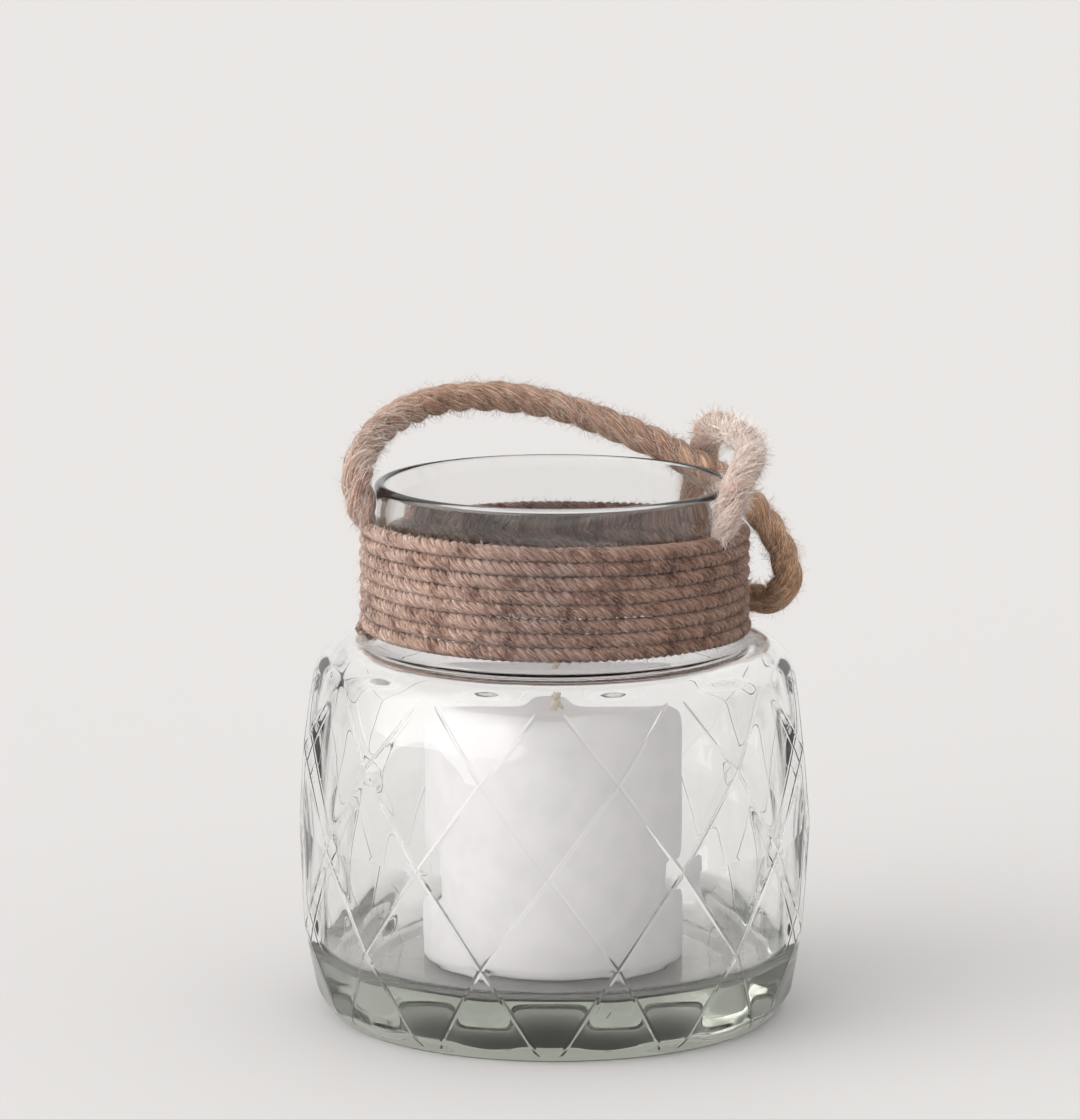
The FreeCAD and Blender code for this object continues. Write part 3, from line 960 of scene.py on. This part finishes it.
@dataclass
class LaidCord:
    """Plies laid round a line, each a round tube with its own UV map in millimetres, and loose hairs."""

    diameter: float
    lay: float
    sides: int
    seed: int
    plies: int = 3
    ply_share: float = 0.54
    lay_share: float = 0.46
    taper_mm: float = 0.0
    tail: float = 0.45
    hairs: int = 0
    nap: int = 0
    hair_mm: tuple[float, float] = (1.2, 4.2)
    nap_share: float = 0.5
    hair_lift: tuple[float, float] = (0.2, 0.75)
    nap_lift: tuple[float, float] = (0.02, 0.14)
    hair_seat: float = 0.86
    nap_seat: tuple[float, float] = (0.84, 0.98)
    hair_reach: float = 1.58
    hair_stray: float = 0.8
    middle_stray: float = 0.05
    tip_stray: float = 0.12
    bare_share: float = 0.25
    # Jute fibres are about half as wide, which is too fine to show
    fibre_half_mm: tuple[float, float] = (0.035, 0.065)
    knots: int = 400
    uneven: tuple[float, float] = (0.93, 1.05)

    def taper(self, along: np.ndarray) -> np.ndarray:
        """Size factor of a cord whose first end is drawn thin to go under another.

        Args:
            along: Distances along the cord, in metres.

        Returns:
            A factor at each distance.
        """
        if not self.taper_mm:
            return np.ones_like(along)
        return np.interp(along, (0.0, self.taper_mm * MM), (self.tail, 1.0))

    def swell(self, along: np.ndarray) -> np.ndarray:
        """Uneven thickness of a spun cord, with its taper.

        Args:
            along: Distances along the cord, in metres.

        Returns:
            A size factor at each distance.
        """
        lumps = np.random.default_rng(self.seed).uniform(*self.uneven, self.knots)
        place = along / (self.diameter * MM * 1.3)
        return np.interp(place, np.arange(self.knots), lumps) * self.taper(along)

    def plies_of(self, path: np.ndarray) -> list[tuple[np.ndarray, np.ndarray]]:
        """Give each ply's line and radius.

        Args:
            path: Middle line of the cord, in metres.

        Returns:
            A line and a radius at each of its points, for each ply.
        """
        _, side, cross, along = frames(path)
        out = []
        size = self.swell(along)[:, None]
        half = self.diameter * MM / 2
        for k in range(self.plies):
            turn = 2 * math.pi * (along / (self.lay * MM) + k / self.plies)
            wave = side * np.cos(turn)[:, None] + cross * np.sin(turn)[:, None]
            out.append((path + wave * half * self.lay_share * size, half * self.ply_share * size[:, 0]))
        return out

    def tube(self, line: np.ndarray, radius: np.ndarray, verts: list, faces: list, uvs: list) -> None:
        """Add one closed round tube to lists of corners, faces and corner UVs.

        Args:
            line: Middle line of the tube, in metres.
            radius: Radius at each point of the line.
            verts: Corners so far.
            faces: Faces so far.
            uvs: UV places of the faces' corners so far, in millimetres.
        """
        _, side, cross, along = frames(line)
        first = len(verts)
        ring = np.linspace(0, 2 * math.pi, self.sides, endpoint=False)
        for i in range(len(line)):
            for a in ring:
                verts.append(line[i] + (side[i] * math.cos(a) + cross[i] * math.sin(a)) * radius[i])
        round_mm = 2 * math.pi * float(radius.mean()) / MM
        for i in range(len(line) - 1):
            u0, u1 = along[i] / MM, along[i + 1] / MM
            for j in range(self.sides):
                n = (j + 1) % self.sides
                a = first + i * self.sides
                b = a + self.sides
                faces.append((a + j, b + j, b + n, a + n))
                v0, v1 = round_mm * j / self.sides, round_mm * (j + 1) / self.sides
                uvs.extend(((u0, v0), (u1, v0), (u1, v1), (u0, v1)))
        for at, order in ((0, 1), (len(line) - 1, -1)):
            cap = [first + at * self.sides + j for j in range(self.sides)][::order]
            faces.append(tuple(cap))
            uvs.extend((along[at] / MM, 0.3 * j) for j in range(self.sides))

    def strand_mesh(self, name: str, path: np.ndarray) -> bpy.types.Object:
        """Make the plies along a line as one piece.

        Args:
            name: Name of the new piece.
            path: Middle line of the cord, in metres.

        Returns:
            The new piece.
        """
        verts, faces, uvs = [], [], []
        for line, radius in self.plies_of(path):
            self.tube(line, radius, verts, faces, uvs)
        piece = uv_piece(name, [tuple(v) for v in verts], faces, np.array(uvs))
        piece.data.polygons.foreach_set("use_smooth", [True] * len(piece.data.polygons))
        piece.data.update()
        return piece

    def fibres(self, name: str, path: np.ndarray,
               keep: Callable[[np.ndarray], np.ndarray]) -> bpy.types.Object:
        """Make the nap that lies on the yarn and the loose hairs that stand off it, as thin tapered blades.

        Args:
            name: Name of the new piece.
            path: Middle line of the cord, in metres.
            keep: Tells which of an array of points may be used.

        Returns:
            The fibres as one piece.
        """
        rng = np.random.default_rng(self.seed + 1)
        tangent, side, cross, run = frames(path)
        count = self.nap + self.hairs
        loose = (np.arange(count) >= self.nap)[:, None]
        i = rng.integers(2, len(path) - 2, count)
        a = rng.uniform(0, 2 * math.pi, count)[:, None]
        out = side[i] * np.cos(a) + cross[i] * np.sin(a)
        round_way = np.cross(tangent[i], out)
        lay_slope = math.pi * self.diameter * 0.7 / self.lay
        sign = rng.choice((-1.0, 1.0), count)[:, None]
        stray = rng.normal(0, self.hair_stray, count)[:, None]
        lie = tangent[i] * sign + round_way * (lay_slope * sign + stray)
        lie /= np.linalg.norm(lie, axis=1)[:, None]
        length = rng.uniform(*self.hair_mm, count)[:, None] * np.where(loose, 1.0, self.nap_share) * MM
        hair_lift = rng.uniform(*self.hair_lift, count)[:, None]
        nap_lift = rng.uniform(*self.nap_lift, count)[:, None]
        lift = np.where(loose, hair_lift, nap_lift)
        half = self.diameter * MM / 2 * self.taper(run[i])[:, None]
        nap_seat = rng.uniform(*self.nap_seat, count)[:, None]
        base = path[i] + out * half * np.where(loose, self.hair_seat, nap_seat)
        middle = base + (lie * 0.5 + out * lift * 0.6 + rng.normal(0, self.middle_stray, (count, 3))) * length
        bend = 1 - np.where(loose, 0.0, 0.5 * length / half)
        tip = base + (lie + out * lift * bend + rng.normal(0, self.tip_stray, (count, 3))) * length
        for point in (middle, tip):
            off = point - path[i]
            along = (off * tangent[i]).sum(axis=1)[:, None] * tangent[i]
            reach = np.linalg.norm(off - along, axis=1)[:, None]
            point[:] = path[i] + along + (off - along) * np.minimum(1.0, half * self.hair_reach / reach)
        good = keep(middle) & keep(tip) & (run[i] > self.bare_share * self.taper_mm * MM)
        width = np.cross(lie, out) * rng.uniform(*self.fibre_half_mm, count)[:, None] * MM
        waist = width * 0.8
        blades = np.stack([base - width, base + width, middle + waist, middle - waist, tip], axis=1)
        corners = blades[good]
        shade = rng.uniform(0, 1, count)[good]
        total = len(corners)
        first = np.arange(total)[:, None] * 5
        quads = first + np.array([0, 1, 2, 3])
        tris = first + np.array([3, 2, 4])
        place = np.stack([shade, run[i][good] / MM], axis=1)
        corner_uv = np.concatenate([np.repeat(place, 4, axis=0), np.repeat(place, 3, axis=0)])
        return uv_piece(name, corners.reshape(-1, 3).tolist(), quads.tolist() + tris.tolist(), corner_uv)


@dataclass
class NeckTwine:
    """Twine wound round the neck in one run, each turn snug on the next."""

    neck_r: float = 53.0
    twine_d: float = 4.7
    turns: int = 8
    pitch: float = 4.12
    low_z: float = 113.5
    back_dip: float = 2.6
    flare_z: float = 116.5
    flare: float = 0.45
    start_deg: float = -90.0
    seed: int = 11
    points_per_turn: int = 400
    knots_per_turn: int = 12
    sway_mm: float = 0.2
    smooth_over: int = 121
    seat: float = 0.1
    hair_clear: float = 0.4

    def path(self) -> np.ndarray:
        """Give the winding's middle line, with the small unevenness of hand winding.

        Returns:
            Points in metres.
        """
        rng = np.random.default_rng(self.seed)
        start = math.radians(self.start_deg)
        angle = np.linspace(start, start + 2 * math.pi * self.turns, self.points_per_turn * self.turns)
        knots = rng.normal(0.0, self.sway_mm, self.knots_per_turn * self.turns + 2)
        sway = np.interp(angle, np.linspace(angle[0], angle[-1], len(knots)), knots)
        window = np.hanning(self.smooth_over)
        padded = np.pad(sway, self.smooth_over // 2, mode="edge")
        smooth = np.convolve(padded, window / window.sum(), mode="valid")
        share = 1 - (angle - start) / (2 * math.pi * self.turns)
        z = self.low_z + self.pitch * self.turns * share + smooth
        z -= self.back_dip * share * (1 - np.cos(angle)) / 2
        radius = self.neck_r + self.twine_d / 2 - self.seat + self.flare * np.maximum(0.0, self.flare_z - z)
        return np.stack([radius * np.sin(angle), -radius * np.cos(angle), z], axis=1) * MM

    def build(self, jute: JuteFinish, fuzz: FuzzFinish) -> None:
        """Wind the twine and its hairs on the neck.

        Args:
            jute: Finish of the plies.
            fuzz: Finish of the hairs.
        """
        cord = LaidCord(self.twine_d, lay=8.0, sides=7, seed=self.seed, ply_share=0.52, lay_share=0.48,
                        hairs=8500, nap=42000)
        path = self.path()
        piece = cord.strand_mesh("wound_twine", path)
        piece.data.materials.append(jute.build())
        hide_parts("neck_twine")
        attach(piece, "jar")
        bore = (self.neck_r + self.hair_clear) * MM
        hairs = cord.fibres("twine_hairs", path, lambda p: np.hypot(p[:, 0], p[:, 1]) > bore)
        hairs.data.materials.append(fuzz.build())
        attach(hairs, "jar")


@dataclass(frozen=True)
class RopeRun:
    """One rope: its piece, CAD node and length in metres, its route in millimetres and its hairs.

    Bend holds two places in metres: where the rope starts to follow the handle, and where it follows
    it wholly.
    """

    name: str
    node: str
    length: float
    seed: int
    hairs: int
    hair_mm: tuple[float, float]
    nap: int
    bend: tuple[tuple[float, float, float], tuple[float, float, float]]
    route: tuple[tuple[float, float, float], ...]


@dataclass
class RopeHandle:
    """The laid rope of the handle, with its curl, and the eye that it passes through."""

    rope_d: float = 9.2
    step_mm: float = 0.9
    neck_clear: float = 0.0535
    rim_clear: float = 0.159
    handle: RopeRun = RopeRun(
        "handle_cord", "handle_rope", 0.239, 21, 4600, (2.0, 6.0), 15000,
        ((0.0, 0.02, 0.164), (-0.0144, 0.0516, 0.1798)), (
            (-54.2, -11.1, 144.0), (-57.0, -11.2, 154.4), (-58.0, -7.6, 161.0), (-56.6, 1.4, 165.6),
            (-54.2, 11.0, 168.6), (-50.6, 20.4, 171.6), (-44.6, 30.0, 174.4), (-34.4, 40.5, 176.6),
            (-20.0, 49.5, 176.4), (-4.5, 53.5, 174.0), (8.0, 54.0, 170.2), (20.0, 52.5, 165.8),
            (31.0, 49.0, 161.6), (40.2, 43.6, 157.6), (48.5, 36.8, 154.0), (55.3, 30.0, 149.8),
            (61.2, 24.4, 144.6), (66.0, 20.6, 138.0), (69.2, 18.9, 130.8), (69.6, 20.4, 123.6),
            (66.2, 25.0, 118.4), (60.4, 30.6, 117.0), (54.2, 35.2, 118.8), (48.2, 38.8, 121.2)))
    eye: RopeRun = RopeRun(
        "eye_cord", "side_eye_rope", 0.1274, 31, 4200, (2.0, 7.0), 9000,
        ((0.0, 0.02, 0.172), (-0.0231, 0.0708, 0.1974)), (
            (47.2, -28.8, 143.4), (50.2, -29.2, 153.6), (51.8, -25.6, 159.5), (54.4, -17.2, 162.4),
            (57.2, -6.2, 164.8), (57.8, 6.0, 167.0), (55.4, 18.0, 168.6), (51.4, 29.4, 169.0),
            (48.2, 40.6, 168.4), (46.2, 50.4, 165.0), (45.4, 56.0, 157.6), (44.8, 54.6, 149.0),
            (43.4, 48.8, 141.4), (42.6, 45.6, 134.0)))

    def clear_of_glass(self, points: np.ndarray) -> np.ndarray:
        """Tell which points lie outside the neck or above the rim."""
        return (np.hypot(points[:, 0], points[:, 1]) > self.neck_clear) | (points[:, 2] > self.rim_clear)

    def lay(self, run: RopeRun, jute: JuteFinish, fuzz: FuzzFinish) -> None:
        """Lay one rope along its route, with its hairs.

        Args:
            run: Rope to lay.
            jute: Finish of the plies.
            fuzz: Finish of the hairs.
        """
        cord = LaidCord(self.rope_d, lay=25.0, sides=14, seed=run.seed, ply_share=0.55, taper_mm=8.0,
                        hairs=run.hairs, nap=run.nap, hair_mm=run.hair_mm)
        path = evenly(route_points(run.name + "_route", run.route), self.step_mm * MM)
        piece = cord.strand_mesh(run.name, path)
        piece.data.materials.append(jute.build())
        hairs = cord.fibres(run.name + "_hairs", path, self.clear_of_glass)
        hairs.data.materials.append(fuzz.build())
        for each in (piece, hairs):
            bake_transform(each)
        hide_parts(run.node)

    def build(self, handle_finish: tuple[JuteFinish, FuzzFinish],
              eye_painted_light_finish: tuple[JuteFinish, FuzzFinish]) -> None:
        """Lay the handle and the eye, each in its own jute finish; the eye's paler finish is painted light.
        """
        self.lay(self.handle, *handle_finish)
        self.lay(self.eye, *eye_painted_light_finish)


@dataclass
class PillarCandle:
    """Poured pillar candle with a rounded shoulder, a shallow dished top and a braided wick."""

    radius: float = 38.0
    low_z: float = 17.95
    high_z: float = 94.0
    top_round: float = 6.5
    foot_chamfer: float = 1.0
    dish: float = 1.0
    wick_d: float = 2.6
    wick_low: float = 85.0
    wick_high: float = 101.0
    wick_lean: tuple[float, float] = (0.9, -0.5)
    wick_points: int = 60
    steps: int = 128

    def profile(self) -> list[tuple[float, float]]:
        """Give the candle's turned profile, from the middle of its foot to the middle of its top.

        Returns:
            Radii and heights in millimetres.
        """
        points = [(0.0, self.low_z)]
        points.extend((r, self.low_z) for r in span(6.0, self.radius - self.foot_chamfer, 6.0))
        points.append((self.radius, self.low_z + self.foot_chamfer))
        side_top = self.high_z - self.top_round - 0.5
        points.extend((self.radius, z) for z in span(self.low_z + 3.0, side_top, 4.0))
        centre = (self.radius - self.top_round, self.high_z - self.top_round)
        points.extend(arc_points(centre, self.top_round, 0, math.pi / 2, 12))
        for r in span(self.radius - self.top_round - 2.0, 0.0, 2.5):
            dip = self.dish * (1 - (r / (self.radius - self.top_round)) ** 2)
            points.append((r, self.high_z - max(0.0, dip)))
        return points

    def build(self, wax: WaxFinish, cotton: CottonFinish) -> None:
        """Pour the candle and set its wick.

        Args:
            wax: Finish of the candle.
            cotton: Finish of the wick.
        """
        piece = lathe("poured_candle", self.profile(), self.steps)
        piece.data.attributes.remove(piece.data.attributes["ring"])
        piece.data.materials.append(wax.build())
        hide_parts("candle")
        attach(piece, "candle")
        z = np.linspace(self.wick_low, self.wick_high - 0.4, self.wick_points)
        lean = np.clip((z - self.high_z) / (self.wick_high - self.high_z), 0, 1) ** 2
        path = np.stack([self.wick_lean[0] * lean, self.wick_lean[1] * lean, z], axis=1) * MM
        braid = LaidCord(self.wick_d, lay=7.0, sides=8, seed=41)
        wick = braid.strand_mesh("braided_wick", path)
        wick.data.materials.append(cotton.build())
        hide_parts("wick")
        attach(wick, "candle")


@dataclass(frozen=True)
class Patch:
    """Soft-edged part of the room, lighter or darker than the rest, by its angles from the front."""

    turn_deg: float
    rise_deg: float
    wide_deg: float
    tight_deg: float
    strength: float


@dataclass
class Studio:
    """Plain pale floor, soft light from the left and the camera."""

    floor_size: tuple[float, float] = (16.0, 16.0)
    floor_shift: float = 2.6
    floor_colour: str = "#CECDCD"
    grain_per_m: float = 900.0
    room_colour: str = "#FFFDFB"
    room: float = 0.86
    ceiling: float = 0.22
    patches: tuple[Patch, ...] = (
        Patch(-64.0, 14.0, 50.0, 8.0, 3.0), Patch(-24.0, 8.0, 9.0, 5.0, 3.0),
        Patch(-116.0, 0.0, 34.0, 16.0, -0.66), Patch(106.0, 0.0, 28.0, 12.0, -0.6),
        Patch(12.0, 2.0, 15.0, 8.0, -0.45))
    camera_place: tuple[float, float, float] = (0.0, -1.5, 0.3966)
    camera_down_deg: float = 9.910
    camera_turn_deg: float = 0.1638
    lens_mm: float = 172.45

    def floor(self) -> None:
        """Lay the floor under the jar."""
        bpy.ops.object.select_all(action="DESELECT")
        bpy.ops.mesh.primitive_plane_add(size=1.0, location=(0, 0, 0))
        piece = bpy.context.object
        bpy.ops.object.mode_set(mode="EDIT")
        bpy.ops.transform.resize(value=(*self.floor_size, 1.0))
        bpy.ops.transform.translate(value=(0.0, self.floor_shift, 0.0))
        bpy.ops.object.mode_set(mode="OBJECT")
        piece.name = "pale_floor"
        # Painted board gives the eye an even pale ground with a soft shadow
        material, tree, out = new_material("matt_board")
        coords = add_node(tree, "ShaderNodeTexCoord")
        grain = add_node(tree, "ShaderNodeTexNoise", {
            "Vector": coords.outputs["Object"], "Scale": self.grain_per_m})
        bump = add_node(tree, "ShaderNodeBump", {
            "Height": grain.outputs["Fac"], "Strength": 0.03, "Distance": 0.2 * MM})
        board = add_node(tree, "ShaderNodeBsdfPrincipled", {
            "Base Color": linear(self.floor_colour), "Roughness": 0.7, "Specular IOR Level": 0.2,
            "Normal": bump.outputs["Normal"]})
        tree.links.new(board.outputs["BSDF"], out.inputs["Surface"])
        piece.data.materials.append(material)

    def lights(self) -> None:
        """Set a pale room with a wide soft window at the left and a few dark places for the glass to show."""
        world = bpy.data.worlds.new("soft_surround")
        bpy.context.scene.world = world
        world.use_nodes = True
        tree = world.node_tree
        tree.nodes.clear()
        out = add_node(tree, "ShaderNodeOutputWorld")
        towards = add_node(tree, "ShaderNodeTexCoord").outputs["Generated"]
        split = add_node(tree, "ShaderNodeSeparateXYZ", {"Vector": towards})
        spread = [(split.outputs["Z"], 0.1, 0.7, self.ceiling)]
        for patch in self.patches:
            turn = math.radians(patch.turn_deg)
            rise = math.radians(patch.rise_deg)
            aim = (math.sin(turn) * math.cos(rise), -math.cos(turn) * math.cos(rise), math.sin(rise))
            near = add_node(tree, "ShaderNodeVectorMath", {0: towards, 1: aim}, operation="DOT_PRODUCT")
            edges = [math.cos(math.radians(side)) for side in (patch.wide_deg, patch.tight_deg)]
            spread.append((near.outputs["Value"], *edges, patch.strength))
        total: Any = self.room
        for value, low, high, strength in spread:
            share = add_node(tree, "ShaderNodeMapRange", {
                "Value": value, "From Min": low, "From Max": high, "To Max": strength},
                interpolation_type="SMOOTHSTEP")
            added = add_node(tree, "ShaderNodeMath", {0: total, 1: share.outputs["Result"]}, operation="ADD")
            total = added.outputs["Value"]
        back = add_node(tree, "ShaderNodeBackground", {
            "Color": linear(self.room_colour), "Strength": total})
        tree.links.new(back.outputs["Background"], out.inputs["Surface"])

    def camera(self) -> None:
        """Set the camera at the photograph's viewing angle."""
        scene = bpy.context.scene
        lens = bpy.data.cameras.new("view")
        lens.sensor_fit = "HORIZONTAL"
        lens.sensor_width = 36.0
        lens.lens = self.lens_mm
        lens.clip_start = 0.05
        lens.clip_end = 60.0
        holder = bpy.data.objects.new("view", lens)
        scene.collection.objects.link(holder)
        holder.location = self.camera_place
        tilt = math.radians(90.0 - self.camera_down_deg)
        holder.rotation_euler = (tilt, 0.0, math.radians(self.camera_turn_deg))
        scene.camera = holder
        scene.view_settings.view_transform = "Standard"
        scene.cycles.max_bounces = 24
        scene.cycles.transmission_bounces = 20
        scene.cycles.glossy_bounces = 8

    def build(self) -> None:
        """Set up floor, lights and camera."""
        self.floor()
        self.lights()
        self.camera()


def main() -> None:
    """Build the lantern and its surroundings."""
    logging.basicConfig(level=logging.INFO, format="%(name)s: %(message)s")
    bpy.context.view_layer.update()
    Studio().build()
    # Along the handle, partly the rope's own tone, warmer at its curl, and partly painted light and shade:
    # palest on the left, darkest past the top on the right, where the rope lies in shade
    handle_tone_and_light = ToneAndLightRamp(TintRun.ALONG, (
        (0.0, "#F2EEEF"), (45.0, "#FFFFFF"), (75.0, "#F8E6D8"), (125.0, "#F0E4DC"),
        (165.0, "#DCCDC3"), (195.0, "#FFF0DA"), (240.0, "#FFEBCF")))
    # Painted light on the eye: palest at its top, where the light falls
    eye_painted_light = ToneAndLightRamp(TintRun.ALONG, ((0.0, "#EFE9E9"), (60.0, "#FFFFFF"), (128.0, "#E8DACE")))
    # Painted light and shade across the neck's twine: paler on the left, where the light falls, darker to the
    # right
    neck_painted_light = ToneAndLightRamp(TintRun.PAINTED_LIGHT_ACROSS, (
        (-60.0, "#FFFFFF"), (-36.0, "#F6EEEB"), (-6.0, "#CCC5C7"), (30.0, "#D0BFB6"), (60.0, "#CDB8AC")))
    handle_finish = (
        JuteFinish("laid_jute_rope", "#6F5B50", "#B7A194", "#E9DBD2", handle_tone_and_light),
        FuzzFinish("rope_hairs", "#84705F", "#CBB8AB", "#F8EFE8", handle_tone_and_light))
    # The eye's rope is a paler copy of the handle's jute, as painted light
    eye_painted_light_finish = (
        JuteFinish("painted_light_jute_rope", "#9A887E", "#DACBC2", "#F7EFEA", eye_painted_light),
        FuzzFinish("painted_light_rope_hairs", "#AC9B90", "#E4D9D1", "#FDF9F6", eye_painted_light))
    neck_finish = (
        JuteFinish("spun_jute_twine", "#664F45", "#B39B8E", "#ECDCD1", neck_painted_light,
                   fibre_mm=0.35, streak_mm=4.0, blotch_mm=8.0, blotch="#8F7269"),
        FuzzFinish("twine_hairs", "#7D6456", "#C6B0A3", "#FAEFE6", neck_painted_light))
    RopeHandle().build(handle_finish, eye_painted_light_finish)
    LOG.info("rope handle and eye laid")
    NeckTwine().build(*neck_finish)
    LOG.info("neck bound with twine")
    PillarCandle().build(WaxFinish(), CottonFinish())
    LOG.info("candle poured")
    GlassJar().build(GlassFinish())
    LOG.info("jar pressed")


if __name__ == "__main__":
    main()
